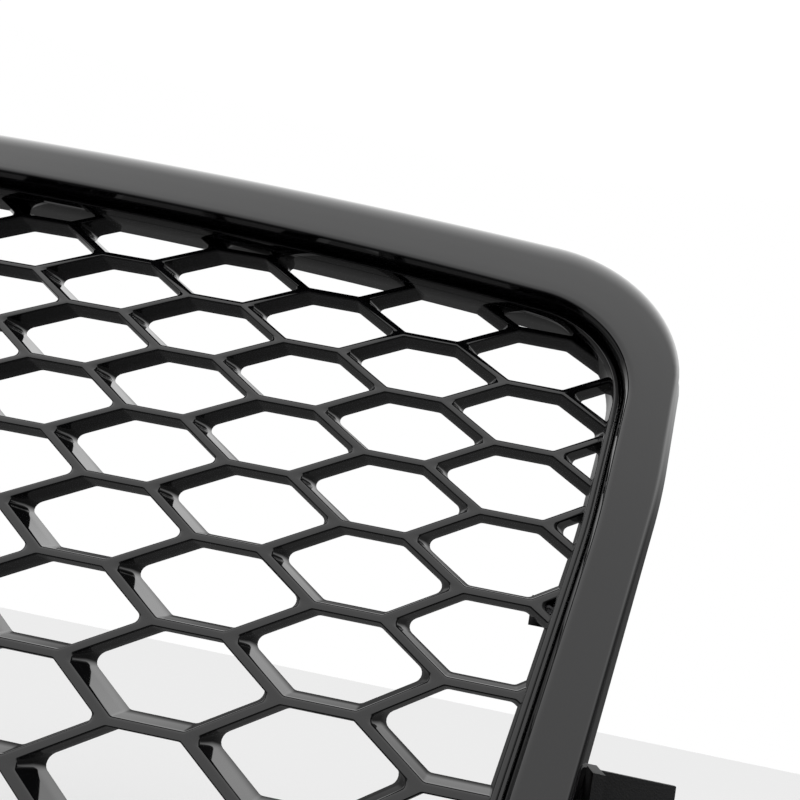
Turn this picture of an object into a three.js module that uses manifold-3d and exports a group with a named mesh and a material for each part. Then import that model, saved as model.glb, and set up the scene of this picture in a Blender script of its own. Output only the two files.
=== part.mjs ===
// Raked honeycomb front grille: bezel, trim ring, honeycomb insert, rear carrier and hardware.
// Millimetres, +Z up, front towards -Y. The origin is on the seat of the middle top tab.
import * as THREE from 'three';
import { mergeVertices } from 'three/addons/utils/BufferGeometryUtils.js';
import Module from 'manifold-3d';

const wasm = await Module();
wasm.setup();

// Attitude of the whole grille
const rake = THREE.MathUtils.degToRad(35);     // the face leans back by this much
const bowRadius = 4300;                        // seen from above, the face bows forward
const gap = 0.3;                               // between pieces that touch

// Honeycomb, measured along the raked face
const cellWidth = 77.2;                        // corner to corner, across
const cellFlat = 26;                           // length of the level edges
const cellHeight = 39.9;                       // level edge to level edge
const ribFront = 4;                            // rib thickness at the front
const ribBack = 7.5;                           // rib thickness at the back
const meshDepth = 18;                          // fore and aft
const ribSetback = 0.5;                        // the ribs end this far ahead of the insert's back
const smallestOpening = 20;                    // cells cut smaller than this stay closed (mm2)

// Outline of the bezel seen from the front, as the corners before rounding; z = 0 is the middle of a cell row
const topZ = 75.1;                             // where the two halves of the top edge meet
const halfWidth = 429.4;                       // top corner
const shoulderZ = 44.2;
const kneeInset = 12.4;                        // where the side turns inwards, in from the half width
const kneeZ = -77;
const bottomInset = 61.4;                      // bottom corner, in from the half width
const bottomZ = -323;
const bottomDip = 11;                          // the bottom edge's middle below its corners
const outerRadii = [4800, 67, 300, 62, 9000];

// Width of the band between the outline and the opening
const topBand = 30.9;
const shoulderBand = 41;
const sideBand = 29.6;
const kneeBand = 28.8;
const kneeDrop = 20;                           // the opening's knee below the outline's
const bottomSideBand = 17;
const bottomBand = 29;
const openingRadii = [3400, 42, 300, 50, 10000];
const cornerSteps = [8, 5, 2, 5, 7];           // facets on each rounded corner

// Depths forward of the honeycomb's front face, measured along the car (t)
const bandFront = 31.6;                        // flat of the bezel band
const bandInnerEdge = 30;                      // where the band's inner bevel starts
const outerEdge = 15.6;                        // where the outer roll meets the side return
const returnBack = -7.7;                       // rear edge of the bezel
const trimFront = 15;                          // front of the trim ring
const trimFlange = 3;                          // trim ring flange thickness
const trimLegBack = 6;                         // rear edge of the trim ring's leg

// Sections, measured outwards from the opening (d) or from the outer edge
const bezelWall = 2.8;
const bezelReveal = 3.2;                       // foot of the bezel's inner wall
const bandInset = 4.6;                         // band's inner edge
const bevelWidth = 1.8;
const sideFlare = 4.5;                         // the return leans out this far on the sides
const railFlare = 1.5;                         // and this far on the top and bottom rails
const trimWidth = 7.5;
const trimLegWidth = 2.4;
const borderWall = 2.8;                        // wall round the honeycomb
const webInset = 0.4;                          // the cells stop this far inside that wall
const insertFlangeWidth = 14;
const insertFlange = 2.5;
const carrierWall = 3;
const carrierRimInset = 5;                     // carrier rim inside the outer edge
const flangeInset = 0.5;                       // the carrier's rear flange inside the bezel's rear edge

// Screws: radius of the shank, of its bores and heads
const shankRadius = 1.5;
const boreRadius = 1.8;
const headRadius = 3.4;
const headHeight = 2.4;
const bossRadius = 4;
const padRadius = 4.8;
const padRise = padRadius * Math.tan(rake) + 0.2;   // a level pad stands this far off a raked wall
const bezelScrewInset = 12.6;
const insertScrewInset = 8.2;
const bezelScrewsPerRail = 4;                  // evenly spaced along the top and the bottom
const bezelScrewFromSide = 114;                // the outermost ones on top, in from the half width
const bezelScrewFromCorner = 52.6;             // and along the bottom, in from its corner
const bezelScrewZ = -95;                      // on each side
const insertScrewsPerRail = 3;
const insertScrewFromSide = 214;
const insertScrewFromCorner = 152.6;
const insertScrewZ = -75;
const roundSides = 8;                          // facets on studs and bores

// Closed pockets with a front screw, one in the cell at each side of this row
const pocketRow = -8;
const pocketFloor = -7;                        // t of the pocket's floor
const pocketBossRadius = 5.4;
const pocketBossDrop = 4.5;                    // the boss ends this far behind the insert
const pocketScrewHead = 2.4;
const pocketScrewShank = 1.1;

// Mounting tabs
const tabWidth = 30;
const tabDepth = 30;
const tabThickness = 3.6;
const tabHoleRadius = 3.2;
const tabHoleSetback = 19;                     // hole behind the tab's front edge
const topTabs = 5;                             // evenly spaced
const topTabFromSide = 119.4;                  // the outermost ones, in from the half width
const topTabRise = 2;                          // seats above the bezel's top edge
const topTabRoot = 28;                         // the tabs' webs start this far out from the opening
const bottomTabs = 4;
const bottomTabFromSide = 128;                 // in from the bottom half width
const bottomTabDrop = 23;                      // seats below the bezel's bottom edge
const bottomTabRoot = 24;
const datumSetback = 6;                        // origin behind the middle tab's front edge

// Spring nuts and clips, folded over the rear edge of a tab
const leafThickness = 0.8;
const leafHalfWidth = 7.5;
const leafLength = 17;
const leafSink = 0.1;                          // the outer leaf lies this far below the seat
const collarRadius = 4.2;
const collarHeight = 4.5;
const collarBore = 2.4;
const barbDepth = 5;
const barbInset = 3;                           // barbs end this far inside the leaf, front and rear

// Arms of the carrier behind the pockets, which take the pocket screws
const armDrop = 10.5;                          // the arm's rear face behind the pocket's boss
const armThickness = 3;
const armHalfHeight = 6;
const armRiser = 4;                            // width of the riser from the carrier's flange
const armRiserInset = 4.5;                     // its outer side, in from the outline

// Side brackets
const bracketDrop = 13;                        // the plate's rear face behind the insert
const bracketPlate = 3;
const bracketZ = [-224, -182];                 // foot and head of the plate
const bracketInset = 16;                       // inboard edge, in from the outline
const bracketEarReach = 30;                    // beyond the bezel's outer edge
const bracketClearance = 1;                    // between the bezel's side and the bracket's ear
const bracketScrewInset = 2;                   // in from the outline
const bracketScrewZ = [-216, -188];

// Foam seals
const foamThickness = 6;
const foamWidth = 6;
const foamInset = 2;                           // outer side, in from the outline
const foamFromSide = 80;                       // ends in from the half width

const gloss = { color: 0x0b0b0d, roughness: 0.12, metalness: 0 };
const satin = { color: 0x17181a, roughness: 0.5, metalness: 0 };
const zinc = { color: 0xb9bcc0, roughness: 0.35, metalness: 1 };
const blackSteel = { color: 0x2a2b2d, roughness: 0.4, metalness: 0.9 };
const foam = { color: 0x232323, roughness: 0.95, metalness: 0 };

const tanRake = Math.tan(rake);
const cosRake = Math.cos(rake);
const carrierFront = trimFront - trimFlange - gap;      // 11.7
const carrierBack = returnBack - gap;                   // front of the carrier's rear flange
const insertFront = trimLegBack - gap;
const pocketBossBack = -meshDepth - pocketBossDrop;
const armBack = pocketBossBack - armDrop;
const bracketBack = -meshDepth - bracketDrop;
const kneeHalfWidth = halfWidth - kneeInset;
const bottomHalfWidth = halfWidth - bottomInset;
const grille = new THREE.Group();

// Evenly spaced positions from -reach to reach.
function spread(count, reach) {
  return Array.from({ length: count }, (_, i) => reach * (2 * i / (count - 1) - 1));
}

// The half outline [x, z] and its radii become a closed ring of points with outward normals.
// Two rounded corners that meet on an edge share its length.
function outline(half, radii) {
  const both = (list, mirror) => [...list, ...list.slice(1, -1).reverse().map(mirror)];
  const steps = both(cornerSteps, (count) => count);
  const radius = both(radii, (r) => r);
  const corners = both(half, ([x, z]) => [-x, z])
    .map(([x, z], i) => ({ at: new THREE.Vector2(x, z), radius: radius[i] }));
  corners.forEach((corner, i) => {
    corner.next = corners[(i + 1) % corners.length];
    corner.before = corners.at(i - 1);
    const edge = corner.next.at.clone().sub(corner.at);
    corner.length = edge.length();
    corner.leaving = edge.normalize();
  });
  corners.forEach((corner) => {
    corner.turn = Math.acos(corner.before.leaving.dot(corner.leaving));
    corner.reach = corner.radius * Math.tan(corner.turn / 2);
  });
  const points = [];
  corners.forEach((corner, i) => {
    const share = Math.min(1, 0.98 * corner.length / (corner.reach + corner.next.reach),
      0.98 * corner.before.length / (corner.reach + corner.before.reach));
    const radius = corner.radius * share;
    const arriving = corner.before.leaving;
    const start = corner.at.clone().addScaledVector(arriving, -corner.reach * share);
    const startNormal = new THREE.Vector2(-arriving.y, arriving.x);
    const centre = start.addScaledVector(startNormal, -radius);
    for (let k = 0; k <= steps[i]; k += 1) {
      const normal = startNormal.clone().rotateAround(new THREE.Vector2(), -corner.turn * k / steps[i]);
      points.push({ normal, at: centre.clone().addScaledVector(normal, radius) });
    }
  });
  return points;
}

const outer = outline([[0, topZ], [halfWidth, shoulderZ], [kneeHalfWidth, kneeZ],
  [bottomHalfWidth, bottomZ], [0, bottomZ - bottomDip]], outerRadii);
const opening = outline([[0, topZ - topBand], [halfWidth - sideBand, shoulderZ - shoulderBand],
  [kneeHalfWidth - kneeBand, kneeZ - kneeDrop], [bottomHalfWidth - bottomSideBand, bottomZ + bottomBand],
  [0, bottomZ - bottomDip + bottomBand]], openingRadii);
const openingZ = opening.map((station) => station.at.y);
const outerZ = outer.map((station) => station.at.y);
const topSeatZ = Math.max(...outerZ) + topTabRise;
const bottomSeatZ = Math.min(...outerZ) - bottomTabDrop;
const topTabX = spread(topTabs, halfWidth - topTabFromSide);
const bottomTabX = spread(bottomTabs, bottomHalfWidth - bottomTabFromSide);
const datum = new THREE.Vector3(0, topSeatZ * tanRake - carrierBack + datumSetback, topSeatZ);

// A point x across, z up and t forward of the honeycomb's front face.
function place(x, z, t) {
  return new THREE.Vector3(x, z * tanRake + x * x / (2 * bowRadius) - t, z).sub(datum);
}

// Station i of the frame: u = 0 on the opening, u = 1 on the outer edge, then d outwards.
function framePoint(i, u, d) {
  const at = opening[i].at.clone().lerp(outer[i].at, u);
  const normal = opening[i].normal.clone().lerp(outer[i].normal, u).normalize();
  return at.addScaledVector(normal, d);
}

function isUpward(i) {
  return Math.max(0, opening[i].normal.y);
}

function flareAt(i) {
  return THREE.MathUtils.lerp(sideFlare, railFlare, Math.abs(opening[i].normal.y));
}

function geometryOf(points, faces) {
  const geometry = new THREE.BufferGeometry();
  geometry.setAttribute('position', new THREE.Float32BufferAttribute(points.flatMap((p) => p.toArray()), 3));
  geometry.setIndex(faces);
  return geometry;
}

// Joins rings of points into a closed skin. The rings are capped unless they close on themselves.
function loft(rings, closed) {
  const n = rings[0].length;
  const faces = [];
  const last = closed ? rings.length : rings.length - 1;
  for (let i = 0; i < last; i += 1) {
    const a = i * n;
    const b = ((i + 1) % rings.length) * n;
    for (let j = 0; j < n; j += 1) {
      const k = (j + 1) % n;
      faces.push(a + j, b + j, b + k, a + j, b + k, a + k);
    }
  }
  if (!closed) {
    const end = (rings.length - 1) * n;
    for (let j = 1; j < n - 1; j += 1) {
      faces.push(0, j, j + 1, end, end + j + 1, end + j);
    }
  }
  return geometryOf(rings.flat(), faces);
}

// A profile of [u, d, t] swept round the whole frame.
function sweepRing(profileAt) {
  const rings = opening.map((_, i) => profileAt(i).map(([u, d, t]) => {
    const p = framePoint(i, u, d);
    return place(p.x, p.y, t);
  }));
  return solid(loft(rings, true));
}

// A closed mesh as a manifold solid; its faces are turned out if they point in.
function solid(geometry) {
  const bare = geometry.index ? geometry : geometry.clone();
  bare.deleteAttribute('normal');
  bare.deleteAttribute('uv');
  const merged = mergeVertices(bare, 1e-4);
  const position = merged.attributes.position;
  const index = Array.from(merged.index.array);
  const corner = [0, 1, 2].map(() => new THREE.Vector3());
  let volume = 0;
  for (let i = 0; i < index.length; i += 3) {
    corner.forEach((c, k) => c.fromBufferAttribute(position, index[i + k]));
    volume += corner[0].dot(corner[1].clone().cross(corner[2]));
  }
  if (volume < 0) index.reverse();
  return new wasm.Manifold(new wasm.Mesh({
    numProp: 3,
    vertProperties: new Float32Array(position.array),
    triVerts: new Uint32Array(index),
  }));
}

function joined(solids) {
  return solids.reduce((sum, part) => sum.add(part));
}

function cut(body, tools) {
  return tools.reduce((rest, tool) => rest.subtract(tool), body);
}

function box(x0, x1, y0, y1, z0, z1) {
  const geometry = new THREE.BoxGeometry(x1 - x0, y1 - y0, z1 - z0);
  geometry.translate((x0 + x1) / 2, (y0 + y1) / 2, (z0 + z1) / 2);
  return solid(geometry);
}

// A plate between two depths, following the rake and the bow.
function bowedPlate(x0, x1, z0, z1, tBack, tFront) {
  const strips = Math.max(1, Math.round((x1 - x0) / 60));
  const geometry = new THREE.BoxGeometry(x1 - x0, tFront - tBack, z1 - z0, strips, 1, 1);
  geometry.translate((x0 + x1) / 2, -(tBack + tFront) / 2, (z0 + z1) / 2);
  const position = geometry.attributes.position;
  for (let i = 0; i < position.count; i += 1) {
    const p = place(position.getX(i), position.getZ(i), -position.getY(i));
    position.setXYZ(i, p.x, p.y, p.z);
  }
  return solid(geometry);
}

// A ring of points round x, z, square to the car's length, or following the raked face.
function circle(x, z, radius, t, raked = false, sides = roundSides) {
  return Array.from({ length: sides }, (_, k) => {
    const angle = 2 * Math.PI * k / sides;
    const px = x + radius * Math.cos(angle);
    const pz = z + radius * Math.sin(angle);
    return raked ? place(px, pz, t) : new THREE.Vector3(px, place(x, z, t).y, pz - datum.z);
  });
}

function stud(x, z, radius, tFront, tBack, rakedFront = false, rakedBack = false) {
  return solid(loft([circle(x, z, radius, tFront, rakedFront), circle(x, z, radius, tBack, rakedBack)], false));
}

// A pan head screw with a round recess. Its head rests at tHead, its tip is at tTip.
function screw(x, z, tHead, tTip, head = headRadius, shank = shankRadius) {
  const way = Math.sign(tTip - tHead);
  const crown = tHead - way * headHeight;
  const profile = [[head * 0.3, crown + way * headHeight * 0.55], [head * 0.38, crown], [head * 0.74, crown],
    [head, tHead - way * headHeight * 0.45], [head, tHead], [shank, tHead], [shank, tTip]];
  return solid(loft(profile.map(([r, t]) => circle(x, z, r, t, false, 8)), false));
}

// Points of the opening at a given x on the top or bottom rail, or at a given z on a side.
function railZ(x, top, d) {
  const ring = opening.map((_, i) => framePoint(i, 0, d));
  for (let i = 0; i < ring.length; i += 1) {
    const a = ring[i];
    const b = ring[(i + 1) % ring.length];
    const onRail = top ? b.x > a.x : b.x < a.x;
    const lo = Math.min(a.x, b.x);
    const hi = Math.max(a.x, b.x);
    if (onRail && x >= lo && x < hi) return THREE.MathUtils.mapLinear(x, a.x, b.x, a.y, b.y);
  }
  throw new Error('no rail at x ' + x);
}

function sideX(z, u, d) {
  const half = opening.map((_, i) => framePoint(i, u, d));
  for (let i = 0; i < half.length - 1; i += 1) {
    const a = half[i];
    const b = half[i + 1];
    if (a.x > 0 && b.x > 0 && z <= a.y && z > b.y) return THREE.MathUtils.mapLinear(z, a.y, b.y, a.x, b.x);
  }
  throw new Error('no side at z ' + z);
}

function add(name, body, look) {
  const data = body.getMesh();
  const geometry = new THREE.BufferGeometry();
  geometry.setAttribute('position', new THREE.Float32BufferAttribute(data.vertProperties, 3));
  geometry.setIndex(Array.from(data.triVerts));
  geometry.computeVertexNormals();
  const mesh = new THREE.Mesh(geometry, new THREE.MeshStandardMaterial(look));
  mesh.name = name;
  grille.add(mesh);
}

// Screw positions: along the top rail, along the bottom rail, then one on each side.
function ringOfScrews(count, fromSide, fromCorner, sideZ, inset) {
  const onRail = (reach, top) => spread(count, reach).map((x) => [x, railZ(x, top, inset)]);
  const atSide = sideX(sideZ, 0, inset);
  return [...onRail(halfWidth - fromSide, true), ...onRail(bottomHalfWidth - fromCorner, false),
    [-atSide, sideZ], [atSide, sideZ]];
}

const bezelScrews = ringOfScrews(bezelScrewsPerRail, bezelScrewFromSide, bezelScrewFromCorner,
  bezelScrewZ, bezelScrewInset);
const insertScrews = ringOfScrews(insertScrewsPerRail, insertScrewFromSide, insertScrewFromCorner,
  insertScrewZ, insertScrewInset);

const columnPitch = (cellWidth + cellFlat) / 2;
const rowPitch = cellHeight * cosRake;               // rows, seen from the front

// Corners of a cell, seen from the front, with its edges moved in by w along the raked face.
function cellRing(column, row, w) {
  const a = cellWidth / 2;
  const c = cellFlat / 2;
  const h = cellHeight / 2;
  const slant = Math.hypot(h, a - c);
  const tip = a - w * slant / h;
  const knee = c - w * (slant - (a - c)) / h;
  const x = column * columnPitch;
  const z = row * rowPitch / 2;
  const top = (h - w) * cosRake;
  return [[tip, 0], [knee, top], [-knee, top], [-tip, 0], [-knee, -top], [knee, -top]]
    .map(([px, pz]) => new THREE.Vector2(x + px, z + pz));
}

// The part of a convex ring that lies inside the opening, d outwards from it.
function clipToOpening(ring, d) {
  let rest = ring;
  const edge = opening.map((_, i) => framePoint(i, 0, d));
  edge.forEach((from, i) => {
    const to = edge[(i + 1) % edge.length];
    const run = to.clone().sub(from);
    const inside = (p) => run.cross(p.clone().sub(from)) <= 0;
    const clipped = [];
    rest.forEach((p, k) => {
      const q = rest[(k + 1) % rest.length];
      if (inside(p)) clipped.push(p);
      if (inside(p) !== inside(q)) {
        const s = from.clone().sub(p).cross(run) / q.clone().sub(p).cross(run);
        clipped.push(p.clone().lerp(q, s));
      }
    });
    rest = clipped.filter((p, k) => p.distanceTo(clipped[(k + 1) % clipped.length]) > 0.05);
  });
  return rest;
}

const pocketZ = pocketRow * rowPitch / 2 - 1;
const pocketX = sideX(pocketZ, 0, -1);
const pocketColumn = 2 * Math.round(pocketX / columnPitch / 2) + Math.abs(pocketRow % 2);

function isPocket(column, row) {
  return Math.abs(column) === pocketColumn && row === pocketRow;
}

// Every cell that opens, as a ring cut to the opening.
function openCells() {
  const columns = Math.ceil(halfWidth / columnPitch);
  const topRow = Math.ceil(Math.max(...openingZ) / rowPitch * 2) + 1;
  const bottomRow = Math.floor(Math.min(...openingZ) / rowPitch * 2) - 1;
  const cells = [];
  for (let column = -columns; column <= columns; column += 1) {
    for (let row = bottomRow; row <= topRow; row += 1) {
      const ring = clipToOpening(cellRing(column, row, ribFront / 2), -webInset);
      const large = ring.length > 2 && Math.abs(THREE.ShapeUtils.area(ring)) > smallestOpening;
      if ((column + row) % 2 === 0 && large && !isPocket(column, row)) cells.push(ring);
    }
  }
  return cells;
}

// The ribs as one plate with a tapered hole for each cell.
function ribs() {
  const half = cellHeight / 2;
  const shrink = (half - ribBack / 2) / (half - ribFront / 2);
  const rim = opening.map((_, i) => framePoint(i, 0, borderWall / 2));
  const loops = [rim.reverse(), ...openCells().map((ring) => ring.reverse())];
  loops.forEach((loop, i) => {
    if (THREE.ShapeUtils.isClockWise(loop) === (i === 0)) loop.reverse();
  });
  const points = loops.flat();
  const front = points.map((p) => place(p.x, p.y, 0));
  const back = loops.flatMap((loop, i) => {
    const middle = loop.reduce((sum, p) => sum.clone().add(p), new THREE.Vector2()).divideScalar(loop.length);
    return loop.map((p) => (i === 0 ? p : middle.clone().lerp(p, shrink)));
  }).map((p) => place(p.x, p.y, ribSetback - meshDepth));
  const n = points.length;
  const faces = [];
  const turned = loops.map((loop) => loop.map((p) => p.clone().rotateAround(new THREE.Vector2(), 0.3)));
  THREE.ShapeUtils.triangulateShape(turned[0], turned.slice(1)).forEach(([a, b, c]) => {
    faces.push(a, b, c, n + a, n + c, n + b);
  });
  let first = 0;
  loops.forEach((loop) => {
    loop.forEach((_, k) => {
      const i = first + k;
      const j = first + (k + 1) % loop.length;
      faces.push(i, n + i, n + j, i, n + j, j);
    });
    first += loop.length;
  });
  return solid(geometryOf([...front, ...back], faces));
}

function honeycombInsert() {
  const border = sweepRing(() => [[0, 0, insertFront], [0, borderWall, insertFront],
    [0, borderWall, insertFlange - meshDepth], [0, insertFlangeWidth, insertFlange - meshDepth],
    [0, insertFlangeWidth, -meshDepth], [0, 0, -meshDepth]]);
  const sides = [-1, 1];
  const bosses = sides.map((s) => stud(s * pocketX, pocketZ, pocketBossRadius, -1, pocketBossBack, true));
  const wells = sides.map((s) => {
    const ring = clipToOpening(cellRing(s * pocketColumn, pocketRow, ribFront / 2), -webInset);
    const prism = loft([2, pocketFloor].map((t) => ring.map((p) => place(p.x, p.y, t))), false);
    return solid(prism).add(stud(s * pocketX, pocketZ, pocketScrewHead + 0.9, 2, pocketFloor));
  });
  const pocketBores = sides.map((s) => stud(s * pocketX, pocketZ, pocketScrewShank + gap, 0, pocketBossBack - 5));
  const pads = insertScrews.map(([x, z]) => stud(x, z, padRadius,
    insertFlange - meshDepth + padRise, -meshDepth - padRise));
  const bores = insertScrews.map(([x, z]) => stud(x, z, boreRadius + 0.1, 0, -meshDepth - 12));
  return cut(joined([ribs(), border, ...bosses, ...pads]), [...wells, ...pocketBores, ...bores]);
}

// The band is flat, then rolls back to the outer edge: a wide roll on top, a tight one on the sides.
function bezelProfile(i) {
  const rollStart = THREE.MathUtils.lerp(0.84, 0.62, isUpward(i));
  const rollSteps = 5;
  const front = [[0, bezelReveal, trimFront + gap], [0, bandInset, bandInnerEdge],
    [0, bandInset + bevelWidth, bandFront]];
  for (let k = 0; k <= rollSteps; k += 1) {
    const angle = k / rollSteps * Math.PI / 2;
    const u = rollStart + (1 - rollStart) * Math.sin(angle);
    front.push([u, 0, outerEdge + (bandFront - outerEdge) * Math.cos(angle)]);
  }
  return [...front, [1, flareAt(i), returnBack], [1, flareAt(i) - bezelWall, returnBack],
    [1, -bezelWall, outerEdge], [rollStart, -bezelWall * 0.4, bandFront - bezelWall],
    [0, bandInset + bezelWall, bandFront - bezelWall], [0, bezelReveal + bezelWall, trimFront + gap]];
}

function surroundBezel() {
  const end = carrierFront + padRise + gap;
  const bosses = bezelScrews.map(([x, z]) => stud(x, z, bossRadius, bandFront - bezelWall + 0.8, end, true));
  const bores = bezelScrews.map(([x, z]) => stud(x, z, boreRadius, bandFront - bezelWall - 2, end - 4, true));
  return cut(joined([sweepRing(bezelProfile), ...bosses]), bores);
}

function trimRing() {
  const back = trimFront - trimFlange;
  return sweepRing(() => [[0, 0.5, trimFront], [0, trimWidth, trimFront], [0, trimWidth, back],
    [0, trimLegWidth, back], [0, trimLegWidth, trimLegBack], [0, 0, trimLegBack], [0, 0, trimFront - 0.6]]);
}

// A tab: a web rising in the carrier's rear flange, and a level plate behind it,
// with a recess that takes the outer leaf of its spring nut or clip.
function tab(x, seatZ, upward) {
  const way = upward ? 1 : -1;
  const root = railZ(x, upward, upward ? topTabRoot : bottomTabRoot);
  const plateZ = seatZ - way * tabThickness;
  const [z0, z1] = [Math.min(root, seatZ), Math.max(root, seatZ)];
  const web = bowedPlate(x - tabWidth / 2, x + tabWidth / 2, z0, z1, carrierBack - carrierWall, carrierBack);
  const y = place(x, seatZ, carrierBack).y;
  const [p0, p1] = [Math.min(plateZ, seatZ), Math.max(plateZ, seatZ)];
  const plate = box(x - tabWidth / 2, x + tabWidth / 2, y, y + tabDepth, p0 - datum.z, p1 - datum.z);
  const floor = seatZ - way * (leafSink + leafThickness + gap);
  const [r0, r1] = [Math.min(floor, seatZ + way), Math.max(floor, seatZ + way)];
  const recess = box(x - leafHalfWidth - gap, x + leafHalfWidth + gap, y + tabDepth - leafLength - gap,
    y + tabDepth + 1, r0 - datum.z, r1 - datum.z);
  return web.add(plate).subtract(recess);
}

function tabHole(x, seatZ, radius = tabHoleRadius) {
  const y = place(x, seatZ, carrierBack).y + tabHoleSetback;
  const geometry = new THREE.CylinderGeometry(radius, radius, 30, 12);
  geometry.rotateX(Math.PI / 2);
  geometry.translate(x, y, seatZ - datum.z);
  return solid(geometry);
}

function rearCarrier() {
  const back = carrierFront - carrierWall;
  const rim = -carrierRimInset - carrierWall;
  const flange = carrierBack - carrierWall;
  const inner = bezelReveal + 0.1;
  const channel = sweepRing((i) => [[0, inner, carrierFront], [1, -carrierRimInset, carrierFront],
    [1, -carrierRimInset, carrierBack], [1, flareAt(i) - flangeInset, carrierBack],
    [1, flareAt(i) - flangeInset, flange], [1, rim, flange], [1, rim, back], [0, inner, back]]);
  const pads = bezelScrews.map(([x, z]) => stud(x, z, padRadius, carrierFront + padRise, back - padRise));
  const padBores = bezelScrews.map(([x, z]) => stud(x, z, boreRadius + 0.1, carrierFront + 12, back - 12));
  const bossEnd = insertFlange - meshDepth + padRise + gap;
  const bosses = insertScrews.map(([x, z]) => stud(x, z, bossRadius, carrierFront - 1, bossEnd, true));
  const bores = insertScrews.map(([x, z]) => stud(x, z, boreRadius, bossEnd + 11, bossEnd - 4));
  const tabs = [...topTabX.map((x) => tab(x, topSeatZ, true)), ...bottomTabX.map((x) => tab(x, bottomSeatZ, false))];
  const holes = [...topTabX.map((x) => tabHole(x, topSeatZ)), ...bottomTabX.map((x) => tabHole(x, bottomSeatZ))];
  const lugs = bracketScrews().map(([x, z]) => stud(x, z, bossRadius, carrierBack - 1, flange - padRise, true));
  const lugBores = bracketScrews().map(([x, z]) => stud(x, z, boreRadius, -5, flange - padRise - 4, true));
  const arms = [-1, 1].map(pocketArm);
  const armBores = [-1, 1].map((side) => stud(side * pocketX, pocketZ, pocketScrewShank + gap,
    pocketBossBack + 5, armBack - 14));
  return cut(joined([channel, ...pads, ...bosses, ...tabs, ...lugs, ...arms]),
    [...padBores, ...bores, ...holes, ...lugBores, ...armBores]);
}

// An arm from the carrier's flange round the insert's edge to the back of a pocket.
function pocketArm(side) {
  const across = (x0, x1) => (side > 0 ? [x0, x1] : [-x1, -x0]);
  const far = sideX(pocketZ, 1, -armRiserInset);
  const [foot, head] = [pocketZ - armHalfHeight, pocketZ + armHalfHeight];
  const front = armBack + armThickness;
  const plate = bowedPlate(...across(pocketX - armHalfHeight, far), foot, head, armBack, front);
  const riser = bowedPlate(...across(far - armRiser, far), foot, head, armBack, carrierBack - 1);
  const post = stud(side * pocketX, pocketZ, bossRadius + 0.6, pocketBossBack - gap, front - 1, false, true);
  return joined([plate, riser, post]);
}

function bracketScrews() {
  return [-1, 1].flatMap((side) => bracketScrewZ.map((z) => [side * sideX(z, 1, -bracketScrewInset), z]));
}

function sideBracket(side) {
  const plateFront = bracketBack + bracketPlate;
  const [foot, head] = bracketZ;
  const edge = sideX(head, 1, sideFlare);
  const inboard = sideX(head, 1, -bracketInset);
  const earRoot = edge + bracketClearance;
  const across = (x0, x1) => (side > 0 ? [x0, x1] : [-x1, -x0]);
  const plate = bowedPlate(...across(inboard, earRoot + 4), foot, head, bracketBack, plateFront);
  const lugEnd = carrierBack - carrierWall - padRise - gap;
  const places = bracketScrews().filter(([x]) => x * side > 0);
  const lugs = places.map(([x, z]) => stud(x, z, bossRadius, lugEnd, plateFront - 1, false, true));
  const pads = places.map(([x, z]) => stud(x, z, padRadius, plateFront - 1, bracketBack - padRise, true));
  const middle = (foot + head) / 2;
  const earY = place(earRoot, middle, bracketBack).y;
  const lowY = place(earRoot, foot, plateFront).y;
  const highY = place(earRoot, head, bracketBack).y;
  const level = [foot - datum.z, head - datum.z];
  const gusset = box(...across(earRoot, earRoot + 4), lowY, highY, ...level);
  const ear = box(...across(earRoot, edge + bracketEarReach), earY - bracketPlate, earY, ...level);
  const bores = places.map(([x, z]) => stud(x, z, boreRadius, lugEnd + 5, bracketBack - 14));
  const earHole = stud(side * (edge + bracketEarReach - 11), middle - 9, tabHoleRadius,
    bracketBack + 25, bracketBack - 25);
  return cut(joined([plate, ...lugs, ...pads, gusset, ear]), [...bores, earHole]);
}

// A spring nut folded over the rear edge of a tab, with its threaded collar inside the tab's bend.
// Without a collar it is a push-on clip with two barbs.
function foldedClip(x, seatZ, upward, collar) {
  const way = upward ? 1 : -1;
  const rear = place(x, seatZ, carrierBack).y + tabDepth;
  const front = rear - leafLength;
  const bend = rear + gap;
  const over = seatZ - way * leafSink;
  const under = seatZ - way * (tabThickness + gap);
  const section = new THREE.Shape([[front, over - way * leafThickness], [bend, over - way * leafThickness],
    [bend, under], [front, under], [front, under - way * leafThickness],
    [bend + leafThickness, under - way * leafThickness], [bend + leafThickness, over],
    [front, over]].map(([py, pz]) => new THREE.Vector2(py, pz - datum.z)));
  const folded = new THREE.ExtrudeGeometry(section, { depth: 2 * leafHalfWidth, bevelEnabled: false });
  folded.translate(0, 0, x - leafHalfWidth);
  folded.applyMatrix4(new THREE.Matrix4().makeBasis(new THREE.Vector3(0, 1, 0),
    new THREE.Vector3(0, 0, 1), new THREE.Vector3(1, 0, 0)));
  const y = place(x, seatZ, carrierBack).y + tabHoleSetback;
  const turned = (radius, z0, z1) => {
    const geometry = new THREE.CylinderGeometry(radius, radius, Math.abs(z1 - z0), roundSides);
    geometry.rotateX(Math.PI / 2);
    geometry.translate(x, y, (z0 + z1) / 2 - datum.z);
    return solid(geometry);
  };
  const bore = turned(collarBore, seatZ + way * 3, under - way * (collarHeight + 3));
  if (collar) return solid(folded).add(turned(collarRadius, under, under - way * collarHeight)).subtract(bore);
  const [z0, z1] = [Math.min(under, under - way * barbDepth), Math.max(under, under - way * barbDepth)];
  const barbs = [-1, 1].map((side) => box(x + side * leafHalfWidth - leafThickness / 2,
    x + side * leafHalfWidth + leafThickness / 2, front + barbInset, rear - barbInset, z0 - datum.z, z1 - datum.z));
  return joined([solid(folded), ...barbs]).subtract(bore);
}

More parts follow.
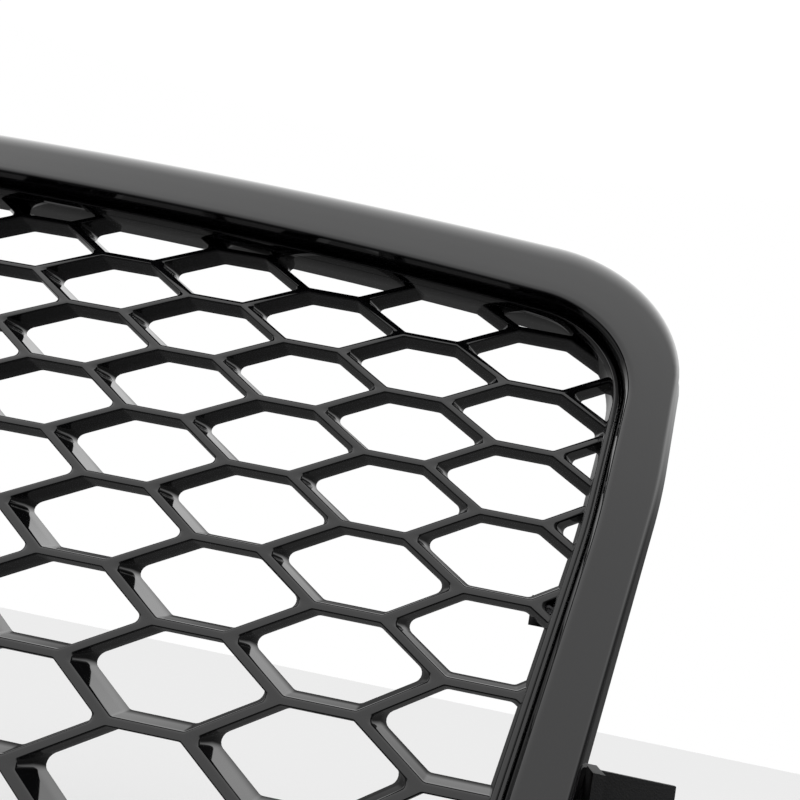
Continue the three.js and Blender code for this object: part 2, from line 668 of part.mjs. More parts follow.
// Foam strip on the back of the carrier's rear flange, along the stations where |x| < reach.
function foamSeal(upward, reach) {
  const front = carrierBack - carrierWall - gap;
  const outside = -foamInset;
  const rings = [];
  opening.forEach((_, i) => {
    const p = framePoint(i, 1, 0);
    const onRail = upward ? opening[i].normal.y > 0.9 : opening[i].normal.y < -0.9;
    if (onRail && Math.abs(p.x) < reach) {
      rings.push({ x: p.x, ring: [[outside, front], [outside - foamWidth, front],
        [outside - foamWidth, front - foamThickness], [outside, front - foamThickness]].map(([d, t]) => {
        const q = framePoint(i, 1, d);
        return place(q.x, q.y, t);
      }) });
    }
  });
  rings.sort((a, b) => a.x - b.x);
  return solid(loft(rings.map((r) => r.ring), false));
}

add('surround_bezel', surroundBezel(), gloss);
add('inner_trim_ring', trimRing(), gloss);
add('honeycomb_insert', honeycombInsert(), gloss);
add('rear_carrier', rearCarrier(), satin);
add('side_bracket_left', sideBracket(-1), satin);
add('side_bracket_right', sideBracket(1), satin);
add('top_foam_seal', foamSeal(true, halfWidth - foamFromSide), foam);
add('bottom_foam_seal', foamSeal(false, bottomHalfWidth - foamFromSide), foam);

topTabX.forEach((x, i) => add('top_spring_nut_' + (i + 1), foldedClip(x, topSeatZ, true, true), zinc));
bottomTabX.forEach((x, i) => add('bottom_spring_clip_' + (i + 1), foldedClip(x, bottomSeatZ, false, false), zinc));

const bezelPad = carrierFront - carrierWall - padRise - gap;
bezelScrews.forEach(([x, z], i) => add('bezel_screw_' + (i + 1), screw(x, z, bezelPad, bezelPad + 20), zinc));

const insertPad = -meshDepth - padRise - gap;
insertScrews.forEach(([x, z], i) => add('insert_screw_' + (i + 1), screw(x, z, insertPad, insertPad + 20), zinc));

const bracketPad = bracketBack - padRise - gap;
bracketScrews().forEach(([x, z], i) => add('bracket_screw_' + (i + 1), screw(x, z, bracketPad, bracketPad + 26), zinc));

[-1, 1].forEach((side) => add('pocket_screw_' + (side < 0 ? 'left' : 'right'),
  screw(side * pocketX, pocketZ, pocketFloor + gap, armBack + 2, pocketScrewHead, pocketScrewShank), blackSteel));

export default grille;
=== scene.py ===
# Looks of the raked honeycomb front grille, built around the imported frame.
import math

import bmesh
import bpy
from mathutils import Matrix, Vector


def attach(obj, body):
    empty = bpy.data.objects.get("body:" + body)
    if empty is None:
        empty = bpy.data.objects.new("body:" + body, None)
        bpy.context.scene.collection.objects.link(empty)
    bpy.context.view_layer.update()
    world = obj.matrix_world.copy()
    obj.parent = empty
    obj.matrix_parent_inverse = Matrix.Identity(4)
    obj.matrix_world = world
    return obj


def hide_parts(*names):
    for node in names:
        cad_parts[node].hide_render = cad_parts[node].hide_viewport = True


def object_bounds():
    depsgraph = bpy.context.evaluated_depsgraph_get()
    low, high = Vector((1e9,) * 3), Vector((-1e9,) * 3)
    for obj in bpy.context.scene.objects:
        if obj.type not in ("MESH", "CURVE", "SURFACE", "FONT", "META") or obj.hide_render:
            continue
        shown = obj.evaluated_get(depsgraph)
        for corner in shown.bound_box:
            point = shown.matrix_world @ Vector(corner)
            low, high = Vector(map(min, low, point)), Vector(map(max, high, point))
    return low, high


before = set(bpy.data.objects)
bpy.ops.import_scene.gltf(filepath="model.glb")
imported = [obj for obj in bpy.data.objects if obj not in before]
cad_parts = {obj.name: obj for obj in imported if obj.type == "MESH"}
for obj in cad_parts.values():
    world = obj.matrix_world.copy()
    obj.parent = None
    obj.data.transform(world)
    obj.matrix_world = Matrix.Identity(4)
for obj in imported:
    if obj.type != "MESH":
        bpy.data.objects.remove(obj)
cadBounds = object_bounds()

# Sizes are in millimetres; x across, z up, t forward of the mesh's front face.
attitude = {"rake": math.radians(35), "bowRadius": 4300, "toMetres": 0.001}

outlineForm = {
    "outer": [(0, 75.1), (429.4, 44.2), (417, -77), (368, -323), (0, -334)],
    "outerRadii": [4800, 67, 300, 62, 9000],
    "opening": [(0, 44.2), (399.8, 3.2), (388.2, -97), (351, -294), (0, -305)],
    "openingRadii": [3400, 42, 300, 50, 10000],
    "fineSteps": [48, 22, 8, 20, 40],
    "cutSteps": [8, 5, 2, 5, 7],
}

seat = {"rise": 2, "carrierBack": -8, "setback": 6}


# ---- shared shapes


def roundedOutline(half, radii, steps):
    # the mirrored half outline as [point, outward normal], clockwise from the top middle
    def both(items, mirror=lambda item: item):
        return list(items) + [mirror(item) for item in reversed(items[1:-1])]

    corners = [Vector(c) for c in both(half, lambda c: (-c[0], c[1]))]
    radii = both(radii)
    steps = both(steps)
    count = len(corners)
    leaving = [(corners[(i + 1) % count] - corners[i]) for i in range(count)]
    lengths = [edge.length for edge in leaving]
    leaving = [edge.normalized() for edge in leaving]
    turns = [math.acos(leaving[i - 1].dot(leaving[i])) for i in range(count)]
    reaches = [radii[i] * math.tan(turns[i] / 2) for i in range(count)]
    stations = []
    for i in range(count):
        share = min(1, 0.98 * lengths[i] / (reaches[i] + reaches[(i + 1) % count]),
                    0.98 * lengths[i - 1] / (reaches[i] + reaches[i - 1]))
        radius = radii[i] * share
        arriving = leaving[i - 1]
        firstNormal = Vector((-arriving.y, arriving.x))
        centre = corners[i] - arriving * reaches[i] * share - firstNormal * radius
        for k in range(steps[i] + 1):
            normal = firstNormal.copy()
            normal.rotate(Matrix.Rotation(-turns[i] * k / steps[i], 2))
            stations.append((centre + normal * radius, normal))
    return stations


def makeOutlines(steps):
    form = outlineForm
    return (roundedOutline(form["opening"], form["openingRadii"], steps),
            roundedOutline(form["outer"], form["outerRadii"], steps))


opening, outer = makeOutlines(outlineForm["fineSteps"])


def framePoint(i, u, d):
    # station i: u = 0 on the opening, u = 1 on the outer edge, then d outwards
    at = opening[i][0].lerp(outer[i][0], u)
    normal = opening[i][1].lerp(outer[i][1], u).normalized()
    return at + normal * d


def rawPlace(x, z, t):
    return Vector((x, z * math.tan(attitude["rake"]) + x * x / (2 * attitude["bowRadius"]) - t, z))


def findDatum():
    # the frame's origin, on the middle top seat
    _, edge = makeOutlines(outlineForm["cutSteps"])
    height = max(at.y for at, _ in edge) + seat["rise"]
    return Vector((0, rawPlace(0, height, seat["carrierBack"]).y + seat["setback"], height))


datum = findDatum()
print("datum", [round(v, 2) for v in datum])


def place(x, z, t):
    return (rawPlace(x, z, t) - datum) * attitude["toMetres"]


def railHeight(x, top, u, d):
    # height of the frame line (u, d) on the top or the bottom rail at x
    for i in range(len(opening)):
        a = framePoint(i, u, d)
        b = framePoint((i + 1) % len(opening), u, d)
        if (b.x > a.x) == top and min(a.x, b.x) <= x < max(a.x, b.x):
            return a.y + (b.y - a.y) * (x - a.x) / (b.x - a.x)
    raise ValueError("no rail there")


def sideReach(z, u, d):
    for i in range(len(opening) - 1):
        a = framePoint(i, u, d)
        b = framePoint(i + 1, u, d)
        if a.x > 0 and b.x > 0 and b.y < z <= a.y:
            return a.x + (b.x - a.x) * (z - a.y) / (b.y - a.y)
    raise ValueError("no side there")


def addLoft(bm, rings, closed):
    # quads between rings of points; open lofts get end caps
    made = [[bm.verts.new(p) for p in ring] for ring in rings]
    count = len(rings[0])
    last = len(made) if closed else len(made) - 1
    for i in range(last):
        a, b = made[i], made[(i + 1) % len(made)]
        for j in range(count):
            k = (j + 1) % count
            bm.faces.new((a[j], b[j], b[k], a[k]))
    if not closed:
        bm.faces.new(made[0])
        bm.faces.new(list(reversed(made[-1])))


def sweepFrame(bm, profileAt):
    addLoft(bm, [[place(*framePoint(i, u, d), t) for u, d, t in profileAt(i)]
                 for i in range(len(opening))], True)


def addTurned(bm, x, z, profile, sides=24, raked=False):
    # a turned shape round x, z: profile is [radius, t]
    def ring(radius, t):
        points = []
        for k in range(sides):
            angle = 2 * math.pi * k / sides
            px, pz = x + radius * math.cos(angle), z + radius * math.sin(angle)
            if raked:
                points.append(place(px, pz, t))
            else:
                level = rawPlace(x, z, t).y
                points.append((Vector((px, level, pz)) - datum) * attitude["toMetres"])
        return points

    addLoft(bm, [ring(radius, t) for radius, t in profile], False)


def makePiece(name, bm, material, sharpAngle=40):
    bmesh.ops.recalc_face_normals(bm, faces=bm.faces)
    mesh = bpy.data.meshes.new(name)
    bm.to_mesh(mesh)
    bm.free()
    mesh.shade_smooth()
    mesh.set_sharp_from_angle(angle=math.radians(sharpAngle))
    mesh.materials.append(material)
    piece = bpy.data.objects.new(name, mesh)
    bpy.context.scene.collection.objects.link(piece)
    return piece


def settle(piece, slotName, *nodes):
    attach(piece, "root")
    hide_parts(*nodes)
    print("piece", piece.name, len(piece.data.polygons))


# ---- materials


class Socket:
    # shader maths as expressions on node sockets
    def __init__(self, maker, link):
        self.maker = maker
        self.link = link

    def maths(self, operation, *values):
        return self.maker.node("ShaderNodeMath", {"operation": operation}, dict(enumerate(values)))

    def __add__(self, other):
        return self.maths("ADD", self, other)

    __radd__ = __add__

    def __mul__(self, other):
        return self.maths("MULTIPLY", self, other)

    __rmul__ = __mul__


class Finish:
    def __init__(self, name, shader):
        self.material = bpy.data.materials.new(name)
        self.material.use_nodes = True
        self.tree = self.material.node_tree
        self.shader = self.tree.nodes["Principled BSDF"]
        for socketName, value in shader.items():
            self.shader.inputs[socketName].default_value = value

    def node(self, kind, settings, inputs, output=0):
        made = self.tree.nodes.new(kind)
        for key, value in settings.items():
            if key == "stops":
                ramp = made.color_ramp
                while len(ramp.elements) < len(value):
                    ramp.elements.new(0.5)
                for element, (position, colour) in zip(ramp.elements, value):
                    element.position = position
                    element.color = (*colour, 1)
            else:
                setattr(made, key, value)
        for key, value in inputs.items():
            if isinstance(value, Socket):
                self.tree.links.new(value.link, made.inputs[key])
            else:
                made.inputs[key].default_value = value
        return Socket(self, made.outputs[output])

    def place(self):
        return self.node("ShaderNodeTexCoord", {}, {}, "Object")

    def noise(self, scale, detail=3.0, roughness=0.5, stretch=None):
        where = self.place()
        if stretch:
            where = self.node("ShaderNodeVectorMath", {"operation": "MULTIPLY"}, {0: where, 1: stretch})
        return self.node("ShaderNodeTexNoise", {}, {"Vector": where, "Scale": scale, "Detail": detail,
                                                    "Roughness": roughness})

    def ramp(self, value, stops):
        return self.node("ShaderNodeValToRGB", {"stops": stops}, {0: value})

    def bump(self, height, strength, distance):
        return self.node("ShaderNodeBump", {}, {"Height": height, "Strength": strength, "Distance": distance})

    def feed(self, **links):
        for socketName, value in links.items():
            self.tree.links.new(value.link, self.shader.inputs[socketName.replace("_", " ")])
        return self.material


pianoBlack = {"lowRoughness": 0.025, "coatRoughness": 0.02, "peel": 90, "peelStrength": 0.25,
              "peelDepth": 0.00002}


def makePianoBlack():
    finish = Finish("pianoBlackPaint", {"IOR": 1.5, "Coat Weight": 0.35,
                                        "Coat Roughness": pianoBlack["coatRoughness"]})
    clouds = finish.noise(14, 4.0, 0.6)
    dust = finish.noise(900, 2.0)
    rough = clouds * 0.03 + dust * 0.015 + pianoBlack["lowRoughness"]
    peel = finish.noise(pianoBlack["peel"], 2.0)
    tint = finish.ramp(clouds, [(0.3, (0.0016, 0.0016, 0.002)), (0.7, (0.0034, 0.0034, 0.0039))])
    return finish.feed(Base_Color=tint, Roughness=rough,
                       Normal=finish.bump(peel, pianoBlack["peelStrength"], pianoBlack["peelDepth"]))


def makeGrainedBlack():
    finish = Finish("grainedBlackPlastic", {"IOR": 1.48, "Specular IOR Level": 0.45})
    grain = finish.node("ShaderNodeTexVoronoi", {"feature": "F1"},
                        {"Vector": finish.place(), "Scale": 1500.0, "Randomness": 1.0}, "Distance")
    flow = finish.noise(6, 5.0, 0.6)
    fine = finish.noise(2600, 2.0)
    tint = finish.ramp(flow, [(0.3, (0.012, 0.012, 0.013)), (0.7, (0.021, 0.021, 0.022))])
    rough = flow * 0.16 + fine * 0.1 + 0.36
    return finish.feed(Base_Color=tint, Roughness=rough, Normal=finish.bump(grain + fine * 0.4, 0.35, 0.0002))


def makeZincSteel(name, dark, light):
    finish = Finish(name, {"Metallic": 1.0, "IOR": 2.4})
    spangle = finish.noise(260, 4.0, 0.65)
    rolled = finish.noise(700, 2.0, 0.5, (1, 9, 1))
    tint = finish.ramp(spangle, [(0.3, dark), (0.7, light)])
    rough = spangle * 0.2 + rolled * 0.1 + 0.2
    return finish.feed(Base_Color=tint, Roughness=rough, Normal=finish.bump(rolled, 0.12, 0.00005))


def makeFoam():
    finish = Finish("closedCellFoam", {"IOR": 1.4, "Specular IOR Level": 0.25})
    cells = finish.node("ShaderNodeTexVoronoi", {"feature": "F1"},
                        {"Vector": finish.place(), "Scale": 900.0, "Randomness": 1.0}, "Distance")
    cloud = finish.noise(40, 3.0)
    tint = finish.ramp(cells, [(0.1, (0.004, 0.004, 0.004)), (0.6, (0.022, 0.022, 0.023))])
    rough = cloud * 0.1 + 0.85
    return finish.feed(Base_Color=tint, Roughness=rough, Normal=finish.bump(cells, 0.8, 0.0006))


pianoBlackPaint = makePianoBlack()
grainedBlackPlastic = makeGrainedBlack()
zincSteel = makeZincSteel("zincPlatedSteel", (0.42, 0.43, 0.45), (0.66, 0.67, 0.68))
darkSteel = makeZincSteel("dulledSteel", (0.16, 0.16, 0.17), (0.34, 0.34, 0.35))
closedCellFoam = makeFoam()
print("materials made")


# ---- surround bezel: a band with a wide soft roll on top and a tight one on the sides

bezel = {"reveal": 3.2, "foot": 15.3, "bandInset": 4.6, "bandInnerEdge": 30, "bevel": 1.8, "bandFront": 31.6,
         "outerEdge": 15.6, "rollSide": 0.84, "rollTop": 0.62, "rollSteps": 18,
         "sideFlare": 4.5, "railFlare": 1.5, "back": -7.7,
         "wall": 2.8, "bossRadius": 4, "bossStart": 26, "bossEnd": 15.56}


def bezelProfile(i):
    form = bezel
    upward = max(0, opening[i][1].y)
    rollStart = form["rollSide"] + (form["rollTop"] - form["rollSide"]) * upward
    drop = form["bandFront"] - form["outerEdge"]
    front = form["bandFront"]
    inset = form["bandInset"]
    profile = [(0, form["reveal"], form["foot"]), (0, form["reveal"] + 0.7, 22),
               (0, inset - 0.15, form["bandInnerEdge"] - 0.5), (0, inset + 0.25, form["bandInnerEdge"] + 0.3),
               (0, inset + form["bevel"] - 0.5, front - 0.4), (0, inset + form["bevel"] + 0.2, front - 0.1),
               (0, inset + form["bevel"] + 1.2, front)]
    profile += [(rollStart * k / 4, 0, front) for k in (2, 3)]
    for k in range(form["rollSteps"] + 1):
        angle = k / form["rollSteps"] * math.pi / 2
        across = rollStart + (1 - rollStart) * math.sin(angle)
        profile.append((across, 0, form["outerEdge"] + drop * math.cos(angle)))
    wall = form["wall"]
    flare = form["sideFlare"] + (form["railFlare"] - form["sideFlare"]) * abs(opening[i][1].y)
    profile += [(1, flare * 0.05, form["outerEdge"] - 0.8), (1, flare * 0.5, 4),
                (1, flare, form["back"] + 0.5),
                (1, flare - 0.5, form["back"]), (1, flare - wall, form["back"]),
                (1, -wall, form["outerEdge"]), (rollStart, -wall * 0.4, front - wall),
                (0, inset + wall, front - wall), (0, form["reveal"] + wall, form["foot"])]
    return profile


screwPlaces = {"bezelPerRail": 4, "bezelFromSide": 114, "bezelSideZ": -95, "bezelInset": 12.6,
               "insertPerRail": 3, "insertFromSide": 214, "insertSideZ": -75, "insertInset": 8.2}


def ringOfScrews(count, fromSide, sideZ, inset):
    reach = outlineForm["outer"][1][0] - fromSide
    along = [reach * (2 * i / (count - 1) - 1) for i in range(count)]
    side = sideReach(sideZ, 0, inset)
    return ([(x, railHeight(x, True, 0, inset)) for x in along]
            + [(x, railHeight(x, False, 0, inset)) for x in along] + [(-side, sideZ), (side, sideZ)])


bezelScrews = ringOfScrews(screwPlaces["bezelPerRail"], screwPlaces["bezelFromSide"],
                           screwPlaces["bezelSideZ"], screwPlaces["bezelInset"])
insertScrews = ringOfScrews(screwPlaces["insertPerRail"], screwPlaces["insertFromSide"],
                            screwPlaces["insertSideZ"], screwPlaces["insertInset"])


def makeBezel():
    bm = bmesh.new()
    sweepFrame(bm, bezelProfile)
    for x, z in bezelScrews:
        addTurned(bm, x, z, [(bezel["bossRadius"], bezel["bossStart"]),
                             (bezel["bossRadius"], bezel["bossEnd"])])
    return makePiece("surroundBezel", bm, pianoBlackPaint, 30)


settle(makeBezel(), "gloss_black", "surround_bezel")


# ---- inner trim ring: a raised lip round the opening, then a groove under the bezel

trim = {"front": 15, "lip": 2.2, "lipRadius": 0.9, "grooveFloor": 12.9, "width": 7.5, "flangeBack": 12,
        "legWidth": 2.4, "legBack": 6, "shoulder": 0.4, "grooveDraft": 0.1}


def trimProfile(i):
    front, lip, radius, shoulder = trim["front"], trim["lip"], trim["lipRadius"], trim["shoulder"]
    profile = [(0, 0, trim["legBack"]), (0, 0, front - radius)]
    for k in range(1, 6):
        angle = k / 5 * math.pi / 2
        profile.append((0, radius * (1 - math.cos(angle)), front - radius * (1 - math.sin(angle))))
    for k in range(1, 5):
        angle = k / 4 * math.pi / 2
        profile.append((0, lip - shoulder * (1 - math.sin(angle)), front - shoulder * (1 - math.cos(angle))))
    return profile + [(0, lip + trim["grooveDraft"], trim["grooveFloor"]),
                      (0, trim["width"], trim["grooveFloor"]),
                      (0, trim["width"], trim["flangeBack"]), (0, trim["legWidth"], trim["flangeBack"]),
                      (0, trim["legWidth"], trim["legBack"])]


def makeTrimRing():
    bm = bmesh.new()
    sweepFrame(bm, trimProfile)
    return makePiece("innerTrimRing", bm, pianoBlackPaint, 30)


settle(makeTrimRing(), "gloss_black", "inner_trim_ring")


# ---- honeycomb insert: drafted cells repeated over a lattice, cut to the opening, in a border

honeycomb = {"cellWidth": 77.2, "cellFlat": 26, "cellHeight": 39.9, "ribFront": 4, "depth": 18,
             "ribEnd": 17.5, "columns": 19, "rows": 14, "middleRow": -4, "tipPoints": 6, "kneePoints": 3,
             "pocketRow": -8, "pocketFloor": -7, "borderWall": 2.8, "borderFront": 5.7, "flangeWidth": 14,
             "flange": 2.5, "cutInto": 1.2, "padRadius": 4.8, "bossRadius": 3.8, "bossFront": -12,
             "bossBack": -22.5, "weld": 0.002, "cutTolerance": 0.0005,
             "borderEdge": 0.35, "borderFoot": 0.3, "borderFillet": 1, "pocketOverlap": 0.4,
             "padClearance": 0.2}
# each level of a cell's wall: inset from the rib's middle, fillet radius, t
cellLevels = [(0.75, 1.6, 0), (1.3, 1.8, -0.12), (1.72, 2.0, -0.5), (1.95, 2.2, -1.1), (2.02, 2.3, -2),
              (2.9, 2.8, -9.5), (3.62, 3.2, -16.2), (3.5, 3.2, -17.1), (3.1, 3.0, -17.5)]


def cellCorners(inset):
    form = honeycomb
    a, c, h = form["cellWidth"] / 2, form["cellFlat"] / 2, form["cellHeight"] / 2
    slant = math.hypot(h, a - c)
    tip = a - inset * slant / h
    knee = c - inset * (slant - (a - c)) / h
    top = (h - inset) * math.cos(attitude["rake"])
    return [Vector(p) for p in ((tip, 0), (knee, top), (-knee, top), (-tip, 0), (-knee, -top), (knee, -top))]


def filletedRing(inset, radius, t):
    corners = cellCorners(inset)
    ring = []
    for i, corner in enumerate(corners):
        toBefore = (corners[i - 1] - corner).normalized()
        toNext = (corners[(i + 1) % 6] - corner).normalized()
        half = math.acos(toBefore.dot(toNext)) / 2
        centre = corner + (toBefore + toNext).normalized() * radius / math.sin(half)
        start = corner + toBefore * radius / math.tan(half) - centre
        sweep = math.pi - 2 * half
        count = honeycomb["tipPoints"] if i % 3 == 0 else honeycomb["kneePoints"]
        for k in range(count + 1):
            arm = start.copy()
            arm.rotate(Matrix.Rotation(sweep * k / count, 2))
            ring.append((i, (*(centre + arm), t)))
    return ring


def makeCellTile():
    # one cell's share of the ribs, open where it meets its neighbours
    bm = bmesh.new()
    rings = [filletedRing(*level) for level in cellLevels]
    made = [[bm.verts.new(point) for _, point in ring] for ring in rings]
    owners = [corner for corner, _ in rings[0]]
    count = len(owners)
    for a, b in zip(made, made[1:]):
        for j in range(count):
            k = (j + 1) % count
            bm.faces.new((a[j], a[k], b[k], b[j]))
    for ring, t in ((made[0], 0), (made[-1], -honeycomb["ribEnd"])):
        outerCorners = [bm.verts.new((*corner, t)) for corner in cellCorners(0)]
        for j in range(count):
            k = (j + 1) % count
            if owners[j] == owners[k]:
                face = (ring[j], ring[k], outerCorners[owners[j]])
            else:
                face = (ring[j], ring[k], outerCorners[owners[k]], outerCorners[owners[j]])
            bm.faces.new(face)
    mesh = bpy.data.meshes.new("cellTile")
    bm.to_mesh(mesh)
    bm.free()
    tile = bpy.data.objects.new("cellTile", mesh)
    bpy.context.scene.collection.objects.link(tile)
    return tile


class NodeMaker:
    # geometry nodes with one call for each node
    def __init__(self, name, inputs):
        self.tree = bpy.data.node_groups.new(name, "GeometryNodeTree")
        self.tree.interface.new_socket("Geometry", in_out="INPUT", socket_type="NodeSocketGeometry")
        self.identifiers = {}
        for label, kind in inputs:
            made = self.tree.interface.new_socket(label, in_out="INPUT", socket_type="NodeSocket" + kind)
            self.identifiers[label] = made.identifier
        self.tree.interface.new_socket("Geometry", in_out="OUTPUT", socket_type="NodeSocketGeometry")
        self.given = self.tree.nodes.new("NodeGroupInput")
        self.result = self.tree.nodes.new("NodeGroupOutput")

    def add(self, kind, settings, inputs):
        made = self.tree.nodes.new(kind)
        for key, value in settings.items():
            setattr(made, key, value)
        for key, value in inputs.items():
            if isinstance(value, bpy.types.NodeSocket):
                self.tree.links.new(value, made.inputs[key])
            else:
                made.inputs[key].default_value = value
        return made.outputs[0]

    def maths(self, operation, *values):
        return self.add("ShaderNodeMath", {"operation": operation}, dict(enumerate(values)))

    def finish(self, geometry):
        realised = self.add("GeometryNodeRealizeInstances", {}, {0: geometry})
        merged = self.add("GeometryNodeMergeByDistance", {},
                          {"Geometry": realised, "Distance": honeycomb["weld"]})
        painted = self.add("GeometryNodeSetMaterial", {},
                           {"Geometry": merged, "Material": self.given.outputs["Material"]})
        self.tree.links.new(painted, self.result.inputs[0])


def applyNodes(source, maker, values, name):
    # runs the tree on the source object and gives a plain mesh back
    modifier = source.modifiers.new(name, "NODES")
    modifier.node_group = maker.tree
    for label, value in values.items():
        modifier[maker.identifiers[label]] = value
    evaluated = source.evaluated_get(bpy.context.evaluated_depsgraph_get())
    mesh = bpy.data.meshes.new_from_object(evaluated)
    mesh.name = name
    source.modifiers.remove(modifier)
    bpy.data.objects.remove(source)
    return mesh


def latticeTree():
    maker = NodeMaker("cellLattice", [("Columns", "Int"), ("Rows", "Int"), ("Column Pitch", "Float"),
                                      ("Row Pitch", "Float"), ("Middle Height", "Float"),
                                      ("Material", "Material")])
    given = maker.given.outputs
    width = maker.maths("MULTIPLY", maker.maths("SUBTRACT", given["Columns"], 1.0), given["Column Pitch"])
    height = maker.maths("MULTIPLY", maker.maths("SUBTRACT", given["Rows"], 1.0), given["Row Pitch"])
    grid = maker.add("GeometryNodeMeshGrid", {}, {"Size X": width, "Size Y": height,
                                                  "Vertices X": given["Columns"],
                                                  "Vertices Y": given["Rows"]})
    position = maker.tree.nodes.new("ShaderNodeSeparateXYZ")
    maker.tree.links.new(maker.add("GeometryNodeInputPosition", {}, {}), position.inputs[0])
    column = maker.maths("ROUND", maker.maths("DIVIDE", position.outputs[0], given["Column Pitch"]))
    odd = maker.maths("FLOORED_MODULO", column, 2.0)
    stagger = maker.maths("MULTIPLY", maker.maths("MULTIPLY", odd, 0.5), given["Row Pitch"])
    lift = maker.maths("ADD", stagger, given["Middle Height"])
    shift = maker.add("ShaderNodeCombineXYZ", {}, {"Y": lift})
    points = maker.add("GeometryNodeSetPosition", {}, {"Geometry": grid, "Offset": shift})
    tiles = maker.add("GeometryNodeInstanceOnPoints", {}, {"Points": points, "Instance": given["Geometry"]})
    maker.finish(tiles)
    return maker


def makeRibs():
    # the whole lattice, then the part of it inside the opening
    form = honeycomb
    rowPitch = form["cellHeight"] * math.cos(attitude["rake"])
    oddRows = 0.5 if form["rows"] % 2 == 0 else 0
    mesh = applyNodes(makeCellTile(), latticeTree(), {
        "Columns": form["columns"], "Rows": form["rows"],
        "Column Pitch": (form["cellWidth"] + form["cellFlat"]) / 2, "Row Pitch": rowPitch,
        "Middle Height": (form["middleRow"] + oddRows) * rowPitch, "Material": pianoBlackPaint}, "ribLattice")
    bm = bmesh.new()
    bm.from_mesh(mesh)
    bpy.data.meshes.remove(mesh)
    cutLine, _ = makeOutlines(outlineForm["cutSteps"])
    points = [at + normal * form["cutInto"] for at, normal in cutLine]
    for i, point in enumerate(points):
        along = points[(i + 1) % len(points)] - point
        bmesh.ops.bisect_plane(bm, geom=bm.verts[:] + bm.edges[:] + bm.faces[:], dist=form["cutTolerance"],
                               plane_co=(*point, 0), plane_no=(-along.y, along.x, 0), clear_outer=True)
    bmesh.ops.remove_doubles(bm, verts=bm.verts, dist=form["weld"])
    bmesh.ops.holes_fill(bm, edges=[e for e in bm.edges if e.is_boundary], sides=0)
    print("open edges left", sum(e.is_boundary for e in bm.edges))
    for vert in bm.verts:
        vert.co = place(*vert.co)
    return bm


def borderProfile(i):
    form = honeycomb
    wall, front, depth = form["borderWall"], form["borderFront"], form["depth"]
    rear = form["flange"] - depth
    edge, foot, fillet = form["borderEdge"], form["borderFoot"], form["borderFillet"]
    return [(0, edge, front), (0, wall - edge, front), (0, wall, front - edge), (0, wall, rear + fillet),
            (0, wall + fillet, rear), (0, form["flangeWidth"], rear), (0, form["flangeWidth"], -depth),
            (0, foot, -depth), (0, 0, foot - depth), (0, 0, front - edge)]


def pocketPlace():
    rowPitch = honeycomb["cellHeight"] * math.cos(attitude["rake"])
    z = honeycomb["pocketRow"] * rowPitch / 2 - 1
    return sideReach(z, 0, -1), z


pocketX, pocketZ = pocketPlace()


def addPocket(bm, side):
    # a floor that closes the cell, with a boss behind
    form = honeycomb
    pitch = (form["cellWidth"] + form["cellFlat"]) / 2
    column = 2 * round(pocketX / pitch / 2)
    rowPitch = form["cellHeight"] * math.cos(attitude["rake"])
    middle = Vector((column * pitch, form["pocketRow"] * rowPitch / 2))
    ring = [middle + corner for corner in cellCorners(form["ribFront"] / 2 - form["pocketOverlap"])]
    limit, _ = makeOutlines(outlineForm["cutSteps"])
    clipped = ring
    for i, (at, normal) in enumerate(limit):
        kept = []
        for j, p in enumerate(clipped):
            q = clipped[(j + 1) % len(clipped)]
            dp, dq = normal.dot(p - at) - 1, normal.dot(q - at) - 1
            if dp <= 0:
                kept.append(p)
            if dp * dq < 0:
                kept.append(p.lerp(q, dp / (dp - dq)))
        clipped = kept
    clipped = [Vector((side * p.x, p.y)) for p in clipped]
    addLoft(bm, [[place(*p, t) for p in clipped] for t in (form["pocketFloor"], -form["ribEnd"])], False)
    addTurned(bm, side * pocketX, pocketZ, [(form["bossRadius"], form["bossFront"]),
                                            (form["bossRadius"], form["bossBack"])])


def makeInsert():
    bm = makeRibs()
    sweepFrame(bm, borderProfile)
    for side in (-1, 1):
        addPocket(bm, side)
    rise = honeycomb["padRadius"] * math.tan(attitude["rake"]) + honeycomb["padClearance"]
    for x, z in insertScrews:
        addTurned(bm, x, z, [(honeycomb["padRadius"], honeycomb["flange"] - honeycomb["depth"] + rise),
                             (honeycomb["padRadius"], -honeycomb["depth"] - rise)])
    return makePiece("honeycombInsert", bm, pianoBlackPaint, 32)


settle(makeInsert(), "gloss_black", "honeycomb_insert")


# ---- carried-over parts

for name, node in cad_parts.items():
    if node.hide_render:
        continue
    if name.startswith(("rear_carrier", "side_bracket")):
        finish = grainedBlackPlastic
    elif "foam" in name:
        finish = closedCellFoam
    elif name.startswith("pocket_screw"):
        finish = darkSteel
    else:
        finish = zincSteel
    node.data.materials.clear()
    node.data.materials.append(finish)
print("carried parts finished")


# ---- studio

studio = {"floorDrop": 0.0005, "floorSize": 7, "lens": 48.36,
          "ceiling": {"From Min": 0.1, "From Max": 0.5, "To Min": 0.06, "To Max": 1.1},
          "cameraAt": (363.95, -480.89, -150.52), "right": (0.97728, 0.08606, 0.19369),
          "up": (-0.17001, -0.22742, 0.95884)}


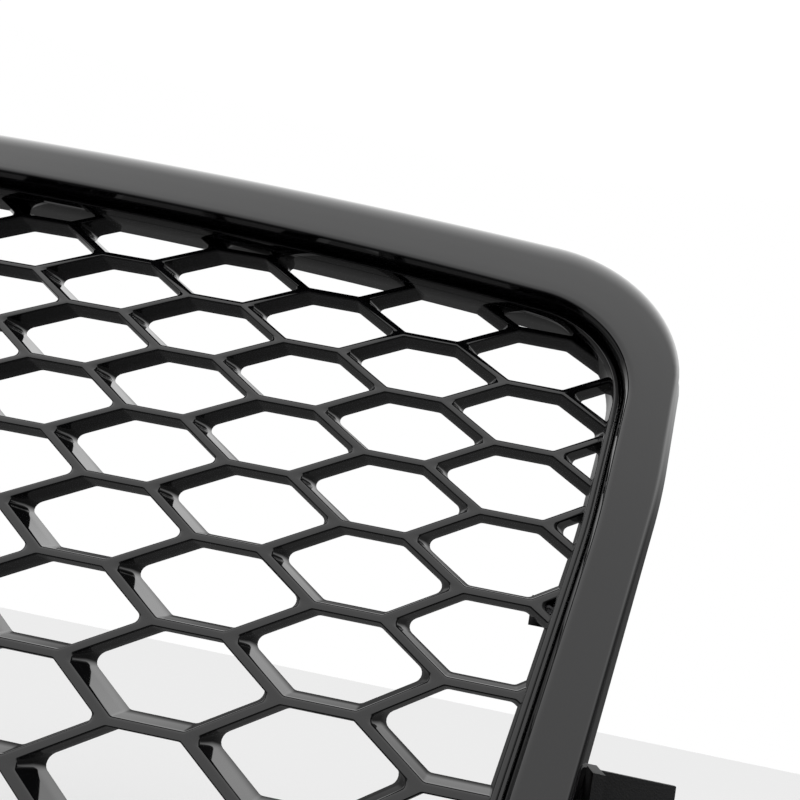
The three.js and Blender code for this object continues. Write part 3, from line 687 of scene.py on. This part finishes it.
def makeFloor():
    low = cadBounds[0]
    bpy.ops.mesh.primitive_plane_add(size=studio["floorSize"], location=(0, 0, low[2] - studio["floorDrop"]))
    floor = bpy.context.object
    floor.name = "studioFloor"
    paper = Finish("paleFloor", {"Base Color": (0.85, 0.85, 0.85, 1), "Roughness": 0.9})
    floor.data.materials.append(paper.material)
    floor.visible_glossy = False


def makeWorld():
    # white to the camera; the parts mirror a soft ceiling over a dim room
    world = bpy.data.worlds.new("softTent")
    bpy.context.scene.world = world
    world.use_nodes = True
    nodes, links = world.node_tree.nodes, world.node_tree.links
    background = nodes["Background"]
    background.inputs["Color"].default_value = (1, 1, 1, 1)
    direction = nodes.new("ShaderNodeTexCoord")
    parts = nodes.new("ShaderNodeSeparateXYZ")
    links.new(direction.outputs["Generated"], parts.inputs[0])
    ceiling = nodes.new("ShaderNodeMapRange")
    ceiling.interpolation_type = "SMOOTHSTEP"
    for socketName, value in studio["ceiling"].items():
        ceiling.inputs[socketName].default_value = value
    links.new(parts.outputs["Z"], ceiling.inputs["Value"])
    seen = nodes.new("ShaderNodeLightPath")
    strength = nodes.new("ShaderNodeMath")
    strength.operation = "MAXIMUM"
    links.new(ceiling.outputs["Result"], strength.inputs[0])
    links.new(seen.outputs["Is Camera Ray"], strength.inputs[1])
    links.new(strength.outputs[0], background.inputs["Strength"])
    bpy.context.scene.view_settings.view_transform = "Standard"


def makeCamera():
    data = bpy.data.cameras.new("camera")
    data.lens = studio["lens"]
    data.sensor_width = 36
    data.clip_start = 0.01
    camera = bpy.data.objects.new("camera", data)
    bpy.context.scene.collection.objects.link(camera)
    right, up = Vector(studio["right"]).normalized(), Vector(studio["up"])
    back = right.cross(up).normalized()
    up = back.cross(right)
    turn = Matrix((right, up, back)).transposed()
    position = (Vector(studio["cameraAt"]) - datum) * attitude["toMetres"]
    camera.matrix_world = Matrix.Translation(position) @ turn.to_4x4()
    bpy.context.scene.camera = camera


makeFloor()
makeWorld()
makeCamera()
print("studio ready")
